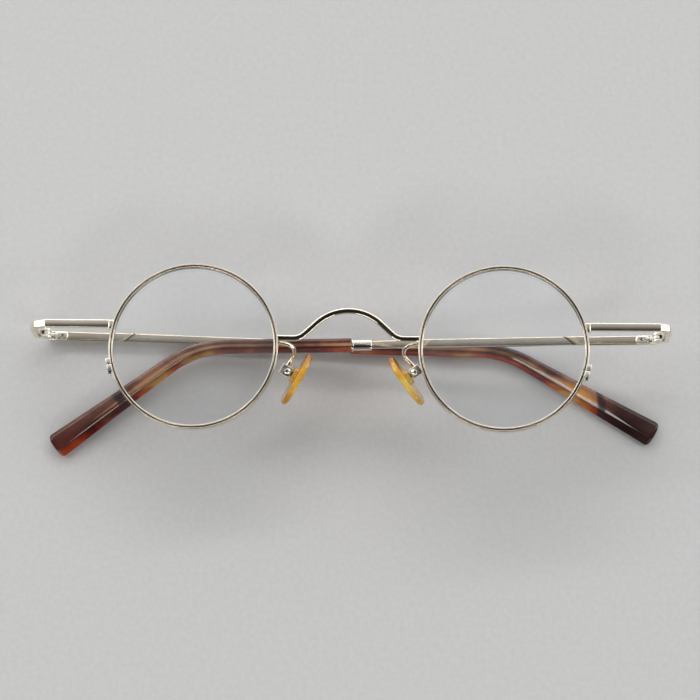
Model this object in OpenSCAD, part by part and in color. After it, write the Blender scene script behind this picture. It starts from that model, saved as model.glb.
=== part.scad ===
// Round wire-frame eyeglasses, lying face up with the temples folded behind the front.
// X runs across the front, Y runs up the front, and Z rises from the table to the lenses.

/* [Rims] */
// Outside diameter of a rim
rim_d = 37.4; // [33:0.2:46]
// Width of the rim wire, seen from the front
rim_w = 1.1; // [0.9:0.05:1.6]
// Depth of the rim wire from front to back
rim_depth = 1.9; // [1.7:0.1:3]
// Width of the channel in the face of the rim
channel_w = 0.44; // [0.2:0.02:0.6]
// Depth of the channel in the face of the rim
channel_depth = 0.2; // [0.05:0.05:0.35]
// Depth of the groove that holds the lens
groove_depth = 0.42; // [0.2:0.02:0.6]
// Distance between the two rims
rim_gap = 30.2; // [26:0.2:36]

/* [Lenses] */
// Thickness of a lens
lens_t = 1.6; // [1.2:0.1:2.4]
// Radius of the curved lens faces
lens_curve_r = 120; // [80:5:300]
// Play of the lens in its groove
lens_play = 0.05; // [0.02:0.01:0.1]

/* [Bridge] */
// Width of the bridge strip, seen from the front
bridge_w = 1.1; // [0.9:0.1:1.6]
// Depth of the bridge strip from front to back
bridge_depth = 1.4; // [1.1:0.1:1.8]
// Height of the ends of the bridge above the lens centres
bridge_y = 2.05; // [0:0.1:6]
// Rise of the arch above its ends
bridge_rise = 6.2; // [5:0.1:9]
// Slope of the sides of the arch
bridge_slope = 43; // [36:1:55]
// Radius of the bend at each foot of the arch
bridge_foot_r = 3.4; // [2:0.1:4]
// Radius of the top of the arch
bridge_top_r = 10.3; // [7:0.1:12]

/* [End pieces] */
// Half of the width of the whole front
front_half = 70.5; // [66:0.5:76]
// Height of the end pieces above the lens centres
end_y = 5.05; // [2:0.1:8]
// Height of the strip that an end piece is bent from
end_h = 1.8; // [1.5:0.05:2.4]
// Thickness of the strip that an end piece is bent from
end_t = 1.2; // [1:0.05:1.6]
// How far the corner facet runs across
facet_run = 2.5; // [1.5:0.1:4]
// How far the corner facet falls back
facet_fall = 1.25; // [0.6:0.05:2]
// Height of the soldered foot on the rim
foot_h = 2.1; // [1.8:0.1:2.6]
// How far the middle of the foot lies below the middle of its strip
foot_drop = 0.3; // [0:0.1:0.4]
// Width of the soldered foot on the rim
foot_w = 0.8; // [0.5:0.1:1.5]
// How far the hinge pin lies behind the middle of the rims
pin_back = 10.5; // [9:0.5:16]
// How far the hinges sit above the middle of the end pieces
hinge_rise = 0.2; // [0:0.05:0.3]

/* [Closing blocks] */
// Angle of the left closing block below the lens centre
left_block_angle = 13; // [11:0.5:20]
// Angle of the right closing block below the lens centre
right_block_angle = 15; // [11:0.5:20]
// Height of each half of a closing block
block_h = 1.25; // [1:0.05:1.8]
// How far a closing block stands out from its rim
block_out = 0.8; // [0.8:0.05:1.4]
// How far a closing block is let into the side of its rim
block_seat = 0.35; // [0.25:0.05:0.4]
// Gap between the two halves of a closing block
slit = 0.25; // [0.1:0.05:0.4]
// Diameter of the closing screw
block_screw_d = 0.6; // [0.4:0.05:0.65]
// How far the closing screw stands out below its block
block_screw_end = 1.2; // [0:0.1:1.5]

/* [Hinges] */
// Radius of the hinge knuckles
knuckle_r = 1.1; // [0.9:0.05:1.4]
// Height of a whole hinge
hinge_h = 2.1; // [1.8:0.1:3]
// Height of the middle knuckle
knuckle_h = 0.76; // [0.5:0.02:1]
// Gap between knuckles
knuckle_gap = 0.05; // [0.02:0.01:0.1]
// Diameter of the hinge screw
pin_d = 0.9; // [0.7:0.05:1]
// Diameter of the head of the hinge screw
pin_head_d = 1.6; // [1.3:0.1:2]
// Running clearance round a screw
pin_play = 0.03; // [0.02:0.01:0.06]
// Room between a knuckle and the strip beside it
knuckle_room = 0.3; // [0.25:0.05:0.5]
// Thickness of a hinge leaf
leaf_t = 0.5; // [0.3:0.05:0.7]
// Length of a hinge leaf from the pin
leaf_l = 4.7; // [4:0.1:7]
// Height of the rounded end of a temple hinge leaf
shield_h = 1.9; // [1.4:0.1:2.4]
// Radius of the rounded end of a temple hinge leaf
shield_r = 1.55; // [1.3:0.05:1.8]

/* [Temples] */
// Height of a temple bar at its hinge
bar_h = 2.1; // [1.8:0.05:2.6]
// Height of a temple bar at its ferrule
bar_end_h = 1.7; // [1.5:0.05:2]
// Thickness of a temple bar
bar_t = 1.2; // [1:0.05:1.4]
// Distance from the pin to the near end of the ferrule
ferrule_at = 63.2; // [55:0.5:70]
// Length of the ferrule
ferrule_l = 4.5; // [3:0.1:7]
// Height of the ferrule
ferrule_h = 2.5; // [2.2:0.1:3]
// Thickness of the ferrule
ferrule_t = 1.9; // [1.7:0.1:2.3]
// Distance from the pin to the bend behind the ear
bend_at = 102.7; // [95:0.5:110]
// Distance from the bend to the end of the tip
hook_l = 38.3; // [30:0.1:45]
// Radius of the bend behind the ear
bend_r = 22; // [15:1:26]
// Slope of the left temple bar
left_slope = 0.8; // [0:0.1:3]
// Slope of the right temple bar
right_slope = 1.4; // [0:0.1:3]
// Angle of the bend of the left temple
left_bend = 28; // [20:1:38]
// Angle of the bend of the right temple
right_bend = 35.5; // [20:1:40]

/* [Temple tips] */
// Height of a tip at its ferrule
tip_h = 3; // [2.9:0.1:4]
// Height of a tip near its end
tip_end_h = 5.6; // [4:0.1:6.5]
// Thickness of a tip
tip_t = 3; // [2.4:0.1:3.6]
// Thickness of a tip near its end
tip_end_t = 2.5; // [2:0.1:3]
// Length of the rounded end of a tip
tip_round = 1.3; // [1:0.1:3]
// Diameter of the core wire inside a tip
core_d = 1.2; // [0.9:0.05:1.4]
// Distance from the point of the core wire to the end of the tip
core_short = 6; // [3:0.5:12]
// Length of the point of the core wire
core_point = 7; // [3:0.5:12]
// How far the core wire sinks towards the lower edge of the tip past the bend
core_drop = 0.6; // [0:0.1:0.7]

/* [Nose pads] */
// Length of a nose pad
pad_l = 12.6; // [11:0.1:15]
// Width of a nose pad
pad_w = 7.2; // [6:0.1:9]
// Thickness of a nose pad
pad_t = 1.5; // [1.2:0.1:2]
// How far the left pad screw lies from the middle of the glasses
left_pad_x = 13.7; // [12.4:0.1:15]
// How far the right pad screw lies from the middle of the glasses
right_pad_x = 14.5; // [12.4:0.1:15]
// How far the pad screws lie below the lens centres
pad_drop = 3.8; // [2.5:0.1:5]
// How far the pad screws lie behind the middle of the rims
pad_back = 6.5; // [6:0.1:7.5]
// Angle of the left pad, seen from the front
left_pad_lean = 27; // [24:0.5:38]
// Angle of the right pad, seen from the front
right_pad_lean = 34.5; // [24:0.5:38]
// Angle of the left pad, seen from above
left_pad_splay = 16; // [10:1:28]
// Angle of the right pad, seen from above
right_pad_splay = 15; // [10:1:28]
// Distance from a pad screw to the back of its pad
pad_seat = 2.1; // [2.1:0.1:3.2]
// How far the lower ends of the pads lean back
pad_tilt = 8; // [0:1:14]
// Diameter of the pad arm wire
arm_d = 0.9; // [0.7:0.05:1.1]
// Height of the root of a pad arm above the lens centres
arm_y = 1.5; // [0.5:0.1:2.5]
// How far a pad arm swings from its rim towards the nose
arm_reach = 3.5; // [3:0.1:4.5]
// Size of the pad box along the pad
box_l = 2.3; // [2:0.1:2.8]
// Size of the pad box along its screw
box_w = 2.2; // [1.9:0.1:2.8]
// Thickness of the pad tongue
tongue_t = 0.8; // [0.6:0.05:1]
// Diameter of the pad screw
pad_screw_d = 0.8; // [0.6:0.05:0.9]
// Gap between the pad tongue and the inside of its box
tongue_play = 0.1; // [0.06:0.02:0.16]

/* [Hidden] */
$fn = 64;
rim_fn = 120;
rim_r = rim_d / 2;
rim_in = rim_r - rim_w;
lens_x = rim_gap / 2 + rim_r;
groove_r = rim_in + groove_depth;
lens_r = groove_r - lens_play;
lens_land = rim_in - lens_play;

block_mid = rim_r + block_screw_d / 2 + pin_play;
key_margin = 0.4;
key_back = 0.1;
key_overlap = 0.2;
sink = 0.4;

// Bends of a pad arm, as shares of its reach, of the height of its root and of its fall behind the rim.
// It meets the upper end of the pad box a little outside the screw.
arm_fall = 4.5;
arm_in = 0.4;
arm_shape = [[0, 1, 0], [0.02, 1, 0.16], [0.3, 1.05, 0.33], [0.7, 0.95, 0.55],
    [1, 0.45, 0.75], [1, -0.35, 1]];

// The tongue of a pad runs from its screw into a pocket in the boss of the pad
boss_from = 1.3;
boss_pocket = 0.7;
boss_l = 3.6;
boss_w = 2.6;
tongue_r = 0.68;
tongue_fit = 0.02;
tongue_end = boss_from + boss_pocket;
box_front = 0.85;
box_wall = (box_w - tongue_t) / 2 - tongue_play;
box_heel = 0.9;
box_mouth = 0.35;
box_back = tongue_r + tongue_play + box_heel;
slot_w = 0.2;
pad_low = 0.5;

// The hinge pin runs up the front, inside the arm of the end piece
pin_off = knuckle_r + knuckle_room;
pin_x = front_half - end_t - pin_off;
arm_x = front_half - end_t / 2;
hinge_y = end_y + hinge_rise;
foot_x = sqrt(rim_r * rim_r - end_y * end_y);
butt_gap = 0.05;
leaf_overlap = 0.2;
corner_run = 1.4;
corner_fall = 2.2;

// Folded temples: the left one lies on the table and the right one rests across it
bar_mid = pin_off + bar_t / 2;
tip_out = bar_mid + tip_t / 2;
tip_bulge = 0.1;
stack_gap = 0.15;
cross_x = 31;
lean = asin((tip_out - pin_off + stack_gap) / (pin_x - cross_x));
lift = tip_out + pin_x * sin(lean) + pin_back * cos(lean);

ferrule_end = ferrule_at + ferrule_l;
ferrule_ring_l = 0.4;
ferrule_ring = 0.2;
tip_seat = 0.25;
tip_lead = 4;
core_fit = 0.05;
core_root = 1;
bar_play = 0.03;
scarf_at = 18.4;
scarf_w = 0.12;
scarf_depth = 0.1;
scarf_angle = 40;

function along(p, angle, length) = [p.x + cos(angle) * length, p.y + sin(angle) * length];
function signed_power(v, e) = sign(v) * pow(abs(v), e);
function unit(v) = v / norm(v);
function ease(t) = pow(max(0, min(1, t)), 1.3);

// Closed outline with two axes, squarer as its power rises
function superellipse(a, b, power, count) = [for (i = [0 : count - 1])
    let (angle = 360 * (i + 0.5) / count)
    [signed_power(cos(angle), 2 / power) * a / 2, signed_power(sin(angle), 2 / power) * b / 2]];

// Points along an arc that starts at a point with a heading and turns by an angle
function arc_path(start, heading, radius, turn, steps) = [for (i = [1 : steps])
    let (side = turn > 0 ? 1 : -1, a = heading + turn * i / steps)
    [start.x + side * radius * (sin(a) - sin(heading)), start.y - side * radius * (cos(a) - cos(heading))]];

function heading(path, i) = atan2(path[i + 1].y - path[i].y, path[i + 1].x - path[i].x);
function heading_in(path, i) = heading(path, max(0, i - 1));
function heading_out(path, i) = heading(path, min(len(path) - 2, i));

// One outline per point of a flat path, mitred at the bends
function flat_rings(path, outlines) = [for (i = [0 : len(path) - 1])
    let (a = (heading_in(path, i) + heading_out(path, i)) / 2,
        stretch = 1 / cos((heading_out(path, i) - heading_in(path, i)) / 2))
    [for (q = outlines[i]) [path[i].x - sin(a) * q.x * stretch, path[i].y + cos(a) * q.x * stretch, q.y]]];

// Smooth path through points in space
function catmull(a, b, c, d, t) = 0.5 * (2 * b + (c - a) * t + (2 * a - 5 * b + 4 * c - d) * t * t
    + (3 * b - 3 * c + d - a) * t * t * t);
function smooth_path(p, steps) = concat([for (i = [0 : len(p) - 2], k = [0 : steps - 1])
    catmull(p[max(0, i - 1)], p[i], p[i + 1], p[min(len(p) - 1, i + 2)], k / steps)], [p[len(p) - 1]]);
function tangent(path, i) = unit(path[min(len(path) - 1, i + 1)] - path[max(0, i - 1)]);
function carried(path, i, before) = i >= len(path) ? []
    : let (t = tangent(path, i), n = unit(before - t * (before * t))) concat([n], carried(path, i + 1, n));
function wire_rings(path, d, count) = let (normals = carried(path, 0, [0, 1, 0]))
    [for (i = [0 : len(path) - 1]) let (n = normals[i], b = cross(tangent(path, i), n))
    [for (q = superellipse(d, d, 2, count)) path[i] + n * q.x + b * q.y]];

module skin(rings) {
    n = len(rings[0]);
    m = len(rings);
    points = [for (ring = rings, p = ring) p];
    sides = [for (j = [0 : m - 2], i = [0 : n - 1]) let (k = (i + 1) % n, a = j * n, b = a + n)
        each [[a + i, b + k, a + k], [a + i, b + i, b + k]]];
    first = [for (i = [0 : n - 1]) i];
    last = [for (i = [n - 1 : -1 : 0]) (m - 1) * n + i];
    polyhedron(points, concat(sides, [first, last]));
}

// Turns for a nose pad: its own X points at the nose, Y along the pad and Z along its screw
function turn_x(p, a) = [p.x, p.y * cos(a) - p.z * sin(a), p.y * sin(a) + p.z * cos(a)];
function turn_y(p, a) = [p.x * cos(a) + p.z * sin(a), p.y, p.z * cos(a) - p.x * sin(a)];
function turn_z(p, a) = [p.x * cos(a) - p.y * sin(a), p.x * sin(a) + p.y * cos(a), p.z];
function pad_x(side) = side < 0 ? left_pad_x : right_pad_x;
function pad_lean(side) = side < 0 ? left_pad_lean : right_pad_lean;
function pad_splay(side) = side < 0 ? left_pad_splay : right_pad_splay;
function pad_pin(side) = [-pad_x(side), -pad_drop, -pad_back];
function pad_place(p, side) = pad_pin(side)
    + turn_z(turn_y(turn_x(p, pad_tilt), pad_splay(side)), -pad_lean(side));

// Centre line of a temple in its own frame, from a distance along it
function bend_tangent(bend) = bend_r * tan(bend / 2);
function bend_start(bend) = bend_at - bend_tangent(bend);
function bend_length(bend) = bend_r * bend * PI / 180;
function temple_length(bend) = bend_start(bend) + bend_length(bend) + hook_l - bend_tangent(bend);
function temple_angle(s, slope, bend) = -slope
    - bend * max(0, min(1, (s - bend_start(bend)) / bend_length(bend)));
function bend_point(s, slope, bend) = let (from = along([0, 0], -slope, bend_start(bend)),
    a = temple_angle(s, slope, bend))
    [from.x - bend_r * (sin(a) + sin(slope)), from.y + bend_r * (cos(a) - cos(slope))];
function temple_point(s, slope, bend) = s < bend_start(bend) ? along([0, 0], -slope, s)
    : s < bend_start(bend) + bend_length(bend) ? bend_point(s, slope, bend)
    : along(bend_point(bend_start(bend) + bend_length(bend), slope, bend), -slope - bend,
        s - bend_start(bend) - bend_length(bend));

// Stations along a tip: seat, straight, bend, hook and rounded end
function tip_stations(bend) = let (a = bend_start(bend), b = a + bend_length(bend), c = temple_length(bend))
    concat([ferrule_end, ferrule_end + tip_seat, ferrule_end + (a - ferrule_end) * 0.5],
        [for (i = [0 : 9]) a + (b - a) * i / 9],
        [for (i = [1 : 7]) b + (c - tip_round - b) * i / 7],
        [for (i = [1 : 7]) c - tip_round * (1 - sin(90 * i / 7.3))]);
function tip_shrink(s, length) = let (t = max(0, (s - length + tip_round) / tip_round))
    pow(max(0, 1 - pow(t, 2.8)), 1 / 2.8);
function tip_grow(s, bend) = let (from = bend_at - tip_lead)
    ease((s - from) / (temple_length(bend) - tip_round - from));
function tip_outline(s, bend) = let (length = temple_length(bend), g = tip_grow(s, bend),
        lip = s <= ferrule_end ? 2 * tip_seat : 0, t = tip_t + (tip_end_t - tip_t) * g,
        k = tip_shrink(s, length))
    [for (q = superellipse((tip_h + (tip_end_h - tip_h) * g) * k - lip,
        (t + tip_bulge) * pow(k, 0.6) - lip, 2.7, 20)) [q.x, q.y - (tip_t - t) / 2]];
function tip_rings(slope, bend) = let (stations = tip_stations(bend))
    flat_rings([for (s = stations) temple_point(s, slope, bend)], [for (s = stations) tip_outline(s, bend)]);
function lowest(slope, bend) = min([for (ring = tip_rings(slope, bend), p = ring) p.y]);

// The object's own box, which sets its origin
y_low = hinge_y + min(lowest(left_slope, left_bend), lowest(right_slope, right_bend));
y_mid = (rim_r + min(y_low, -rim_r)) / 2;
arm_top_z = -facet_fall - corner_fall;
x_right = front_half * cos(lean) + pin_back * sin(lean);
x_left = front_half * cos(lean) + arm_top_z * sin(lean);
x_mid = (x_right - x_left) / 2;

module on_front() {
    translate([-x_mid, -y_mid, lift]) rotate([0, -lean, 0]) children();
}

module on_side(side) {
    on_front() mirror([side > 0 ? 1 : 0, 0, 0]) children();
}

module on_rim(side) {
    on_side(side) translate([-lens_x, 0, 0]) children();
}

module on_temple(side) {
    on_side(side) translate([-pin_x, hinge_y, -pin_back]) rotate([0, side < 0 ? lean : 0, 0]) children();
}

module on_pad(side) {
    on_side(side) translate(pad_pin(side)) rotate([0, 0, -pad_lean(side)]) rotate([0, pad_splay(side), 0])
        rotate([pad_tilt, 0, 0]) children();
}

// Places a closing block: X outwards from the rim, Y up along it
module on_block(side) {
    angle = side < 0 ? left_block_angle : right_block_angle;
    rotate([0, 0, 180 + angle]) mirror([0, 1, 0]) children();
}

// The part of a closing block, over a given height, that lies in the side of the rim
module block_key(from, height) {
    depth = rim_depth - 2 * key_margin;
    translate([rim_r - block_seat, from, -depth / 2 - key_back])
        cube([block_seat + key_overlap, height, depth]);
}

module rim(side) {
    half = rim_depth / 2;
    mid = rim_in + rim_w / 2;
    edge = 0.12;
    color("#d8cdb8") on_rim(side) difference() {
        rotate_extrude($fn = rim_fn) polygon([[rim_in, edge - half], [rim_in + edge, -half],
            [rim_r - edge, -half], [rim_r, edge - half], [rim_r, half - edge], [rim_r - edge, half],
            [mid + channel_w / 2, half], [mid + channel_w / 4, half - channel_depth],
            [mid - channel_w / 4, half - channel_depth], [mid - channel_w / 2, half], [rim_in + edge, half],
            [rim_in, half - edge], [rim_in, groove_depth], [groove_r, 0], [rim_in, -groove_depth]]);
        on_block(side) {
            translate([rim_in - 1, -slit / 2, -rim_depth]) cube([rim_w + 2, slit, 2 * rim_depth]);
            block_key(-block_h - slit / 2, 2 * block_h + slit);
        }
    }
}

module lens(side) {
    half = lens_t / 2;
    bevel = groove_depth - lens_play;
    sag = lens_curve_r - sqrt(lens_curve_r * lens_curve_r - lens_land * lens_land);
    steps = 10;
    front_face = [for (i = [0 : steps]) let (r = lens_land * i / steps)
        [r, sqrt(lens_curve_r * lens_curve_r - r * r) - lens_curve_r + sag + half]];
    back_face = [for (i = [steps : -1 : 0]) let (r = lens_land * i / steps)
        [r, sqrt(lens_curve_r * lens_curve_r - r * r) - lens_curve_r + sag - half]];
    edge = [[lens_land, bevel], [lens_r, 0], [lens_land, -bevel]];
    color([0.85, 0.92, 0.95, 0.35]) on_rim(side) rotate_extrude($fn = rim_fn)
        polygon(concat(front_face, edge, back_face));
}

module bridge() {
    fall = 1 - cos(bridge_slope);
    run = sin(bridge_slope);
    straight = (bridge_rise - (bridge_foot_r + bridge_top_r) * fall) / run;
    foot = (bridge_foot_r + bridge_top_r) * run + straight * cos(bridge_slope);
    start = [-foot, bridge_y];
    bend = arc_path(start, 0, bridge_foot_r, bridge_slope, 5);
    shoulder = along(bend[4], bridge_slope, straight);
    half = concat([[-rim_gap / 2 - rim_w, bridge_y], start], bend, [shoulder],
        arc_path(shoulder, bridge_slope, bridge_top_r, -bridge_slope, 9));
    path = concat(half, [for (i = [len(half) - 2 : -1 : 0]) [-half[i].x, half[i].y]]);
    outline = superellipse(bridge_w, bridge_depth, 6, 16);
    color("#d8cdb8") on_front() difference() {
        skin(flat_rings(path, [for (p = path) outline]));
        for (x = [-lens_x, lens_x]) translate([x, 0, -rim_depth])
            cylinder(r = rim_r, h = 2 * rim_depth, $fn = rim_fn);
    }
}

module end_piece(side) {
    path = [[-lens_x - foot_x + sink, 0], [-front_half + corner_run + facet_run, 0],
        [-front_half + corner_run, -facet_fall], [-arm_x, -facet_fall - corner_fall],
        [-arm_x, -pin_back + butt_gap]];
    outline = superellipse(end_t, end_h, 5, 16);
    foot_depth = 1.2 * end_t;
    color("#d8cdb8") on_side(side) difference() {
        union() {
            translate([0, end_y, 0]) rotate([90, 0, 0]) skin(flat_rings(path, [for (p = path) outline]));
            translate([-lens_x - foot_x - foot_w, end_y - foot_drop - foot_h / 2, -foot_depth / 2])
                cube([2 * foot_w, foot_h, foot_depth]);
        }
        translate([-lens_x, 0, -rim_depth]) cylinder(r = rim_r, h = 2 * rim_depth, $fn = rim_fn);
    }
}

module closing_block(side, up) {
    depth = rim_depth + 0.1;
    bevel = 0.3;
    from = up > 0 ? slit / 2 : -slit / 2 - block_h;
    color("#d8cdb8") on_rim(side) difference() {
        union() {
            difference() {
                on_block(side) translate([rim_r - sink, from, -depth / 2]) difference() {
                    cube([block_out + sink, block_h, depth]);
                    for (z = [0, depth]) translate([block_out + sink, -block_h, z]) rotate([0, 45, 0])
                        translate([-bevel / 2, 0, -bevel / 2]) cube([bevel, 3 * block_h, bevel]);
                }
                translate([0, 0, -rim_depth]) cylinder(r = rim_r, h = 2 * rim_depth, $fn = rim_fn);
            }
            on_block(side) block_key(from, block_h);
        }
        on_block(side) translate([block_mid, 0, 0]) rotate([90, 0, 0])
            cylinder(r = block_screw_d / 2 + pin_play, h = 4 * block_h, center = true);
    }
}

module closing_screw(side) {
    top = slit / 2 + block_h;
    head_h = 0.25;
    head_d = block_screw_d + 0.3;
    length = 2 * top + block_screw_end;
    chamfer = block_screw_d / 5;
    color("#b8b0a2") on_rim(side) on_block(side) translate([block_mid, 0, 0]) rotate([-90, 0, 0])
        difference() {
            union() {
                translate([0, 0, top - length + chamfer]) cylinder(d = block_screw_d, h = length - chamfer);
                translate([0, 0, top - length])
                    cylinder(d1 = block_screw_d - 2 * chamfer, d2 = block_screw_d, h = chamfer);
                translate([0, 0, top]) cylinder(d = head_d, h = head_h);
            }
            translate([-head_d, -slot_w / 2, top + head_h / 2]) cube([2 * head_d, slot_w, head_h]);
        }
}

module pad_arm(side) {
    root = [-lens_x + rim_in + rim_w / 2, 0, -rim_depth / 2];
    bends = [for (k = arm_shape) root + [k[0] * arm_reach, k[1] * arm_y, -k[2] * arm_fall]];
    ends = [for (y = [box_l / 2 + arm_d, box_l / 2]) pad_place([-arm_in, y, 0], side)];
    path = concat(smooth_path(concat(bends, [ends[0]]), 3), [ends[1]]);
    color("#d8cdb8") on_side(side) skin(wire_rings(path, arm_d, 12));
}

module pad_box(side) {
    depth = box_back + box_front;
    slot_h = box_w - 2 * box_wall;
    pocket = tongue_r + tongue_play;
    color("#cfc4ae") on_pad(side) difference() {
        translate([-box_back, -box_l / 2, -box_w / 2]) cube([depth, box_l, box_w]);
        cylinder(r = pocket, h = slot_h, center = true);
        translate([0, -pocket, -slot_h / 2]) cube([depth, 2 * pocket, slot_h]);
        translate([box_mouth, -box_l, -slot_h / 2]) cube([depth, 2 * box_l, slot_h]);
        cylinder(r = pad_screw_d / 2 + pin_play, h = 2 * box_w, center = true);
    }
}

module pad_screw(side) {
    head_h = 0.35;
    head_d = 1.4;
    color("#b8b0a2") on_pad(side) difference() {
        union() {
            translate([0, 0, -box_w / 2]) cylinder(d = pad_screw_d, h = box_w);
            translate([0, 0, box_w / 2]) cylinder(d = head_d, h = head_h);
        }
        translate([-head_d, -slot_w / 2, box_w / 2 + head_h / 2]) cube([2 * head_d, slot_w, head_h]);
    }
}

module pad_tongue(side) {
    color("#cfc4ae") on_pad(side) difference() {
        union() {
            cylinder(r = tongue_r, h = tongue_t, center = true);
            translate([0, -tongue_r, -tongue_t / 2]) cube([tongue_end, 2 * tongue_r, tongue_t]);
        }
        cylinder(r = pad_screw_d / 2 + 1.5 * pin_play, h = 2 * box_w, center = true);
    }
}

// Section of a pad at a level through its thickness, narrower at its upper end
function pad_ring(level, share) = [for (q = superellipse(pad_l, pad_w, 2.5, 28))
    [pad_seat + level * pad_t, q.x * share - pad_low, q.y * share * (1 - 0.25 * q.x / pad_l)]];

module nose_pad(side) {
    levels = [[0, 0.84], [0.03, 0.92], [0.1, 0.97], [0.25, 1], [0.55, 0.995], [0.75, 0.97], [0.88, 0.92],
        [0.95, 0.84], [0.99, 0.7], [1, 0.5]];
    color([0.85, 0.66, 0.3, 0.8]) on_pad(side) difference() {
        union() {
            skin([for (k = levels) pad_ring(k[0], k[1])]);
            translate([boss_from, 0, 0]) rotate([0, 90, 0])
                linear_extrude(pad_seat - boss_from + 0.1) polygon(superellipse(boss_w, boss_l, 2.6, 32));
        }
        translate([0, -tongue_r - tongue_fit, -tongue_t / 2 - tongue_fit])
            cube([tongue_end + tongue_fit, 2 * (tongue_r + tongue_fit), tongue_t + 2 * tongue_fit]);
    }
}

// A leaf runs along X from the pin, and the strip that it is soldered to lies at -Z
module leaf_web(y, h) {
    translate([0, y, -pin_off]) cube([pin_off, h, pin_off - pin_d / 3]);
}

module front_hinge(side) {
    outer_h = (hinge_h - knuckle_h) / 2 - knuckle_gap;
    color("#cfc4ae") on_side(side) translate([-pin_x, hinge_y, -pin_back]) rotate([0, 0, 180])
        rotate([0, -90, 0]) difference() {
            union() {
                for (y = [-hinge_h / 2, hinge_h / 2 - outer_h]) {
                    translate([0, y, 0]) rotate([-90, 0, 0]) cylinder(r = knuckle_r, h = outer_h);
                    leaf_web(y, outer_h);
                }
                translate([pin_off, -end_h / 2 - hinge_rise, -pin_off])
                    cube([leaf_l - pin_off, end_h, leaf_t]);
            }
            rotate([90, 0, 0]) cylinder(r = pin_d / 2 + pin_play, h = 2 * hinge_h, center = true);
        }
}

module hinge_screw(side) {
    head_h = 0.4;
    color("#b8b0a2") on_side(side) translate([-pin_x, hinge_y, -pin_back]) rotate([-90, 0, 0]) difference() {
        union() {
            translate([0, 0, -hinge_h / 2]) cylinder(d = pin_d, h = hinge_h);
            translate([0, 0, hinge_h / 2]) cylinder(d = pin_head_d, h = head_h);
        }
        translate([-pin_head_d, -slot_w / 2, (hinge_h + head_h) / 2])
            cube([2 * pin_head_d, slot_w, head_h]);
    }
}

module temple_hinge(side) {
    slope = side < 0 ? left_slope : right_slope;
    color("#cfc4ae") on_temple(side) difference() {
        union() {
            translate([0, -knuckle_h / 2, 0]) rotate([-90, 0, 0]) cylinder(r = knuckle_r, h = knuckle_h);
            leaf_web(-knuckle_h / 2, knuckle_h);
            rotate([0, 0, -slope]) translate([0, 0, -pin_off]) linear_extrude(leaf_t) intersection() {
                translate([leaf_l - shield_r, 0]) circle(r = shield_r);
                translate([0, -shield_h / 2]) square([leaf_l, shield_h]);
            }
            translate([pin_off - leaf_overlap, -knuckle_h / 2, -pin_off])
                cube([leaf_l / 3, knuckle_h, leaf_t]);
        }
        rotate([90, 0, 0]) cylinder(r = pin_d / 2 + pin_play, h = 2 * hinge_h, center = true);
    }
}

// Section of a temple bar at a distance from the pin
function bar_height(s) = bar_h + (bar_end_h - bar_h) * min(1, s / ferrule_at);
function bar_outline(s, grow) = superellipse(bar_height(s) + 2 * grow, bar_t + 2 * grow, 7, 20);

module bar(from, to, grow) {
    stations = [from, ferrule_at, to];
    rotate([0, 90, 0]) rotate([0, 0, 90]) skin([for (s = stations)
        [for (q = bar_outline(s, grow)) [q.x, q.y, s]]]);
}

// Core wire inside a tip, thinned to a point and nearer the lower edge past the bend
function core_width(left) = core_d * min(1, 0.15 + 0.85 * left / core_point);
function core_sink(s, bend) = core_drop * max(0, min(1, (s - bend_start(bend)) / bend_length(bend)));
module core(slope, bend, grow) {
    last = temple_length(bend) - core_short + grow;
    a = bend_start(bend);
    stations = concat([ferrule_end - core_root, a], [for (i = [1 : 9]) a + bend_length(bend) * i / 9],
        [last - core_point, last - core_point / 2, last]);
    outlines = [for (s = stations) let (w = core_width(last - s) + 2 * grow)
        [for (q = superellipse(w, w, 2, 12)) [q.x - core_sink(s, bend), q.y]]];
    translate([0, 0, -bar_mid]) skin(flat_rings([for (s = stations) temple_point(s, slope, bend)], outlines));
}

module temple_bar(side) {
    slope = side < 0 ? left_slope : right_slope;
    bend = side < 0 ? left_bend : right_bend;
    color("#d8cdb8") on_temple(side) {
        rotate([0, 0, -slope]) difference() {
            translate([0, 0, -bar_mid]) bar(butt_gap, ferrule_end, 0);
            translate([scarf_at, 0, -pin_off]) rotate([0, 0, scarf_angle])
                cube([4 * bar_h, scarf_w, 2 * scarf_depth], center = true);
        }
        core(slope, bend, 0);
    }
}

module ferrule(side) {
    slope = side < 0 ? left_slope : right_slope;
    color("#e4dccb") on_temple(side) rotate([0, 0, -slope]) translate([0, 0, -bar_mid]) difference() {
        translate([ferrule_at, 0, 0]) rotate([0, 90, 0]) rotate([0, 0, 90]) {
            linear_extrude(ferrule_l) polygon(superellipse(ferrule_h, ferrule_t, 3.2, 40));
            translate([0, 0, ferrule_l - ferrule_ring_l]) linear_extrude(ferrule_ring_l)
                polygon(superellipse(ferrule_h + 2 * ferrule_ring, ferrule_t + 2 * ferrule_ring, 3, 40));
        }
        bar(ferrule_at - core_root, ferrule_end + core_root, bar_play);
    }
}

module temple_tip(side) {
    slope = side < 0 ? left_slope : right_slope;
    bend = side < 0 ? left_bend : right_bend;
    table = 2 * temple_length(bend);
    color("#5a1c0c") on_temple(side) difference() {
        translate([0, 0, -bar_mid]) skin(tip_rings(slope, bend));
        core(slope, bend, core_fit);
        translate([-table / 2, -table / 2, -tip_out - tip_t]) cube([table, table, tip_t]);
    }
}

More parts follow.
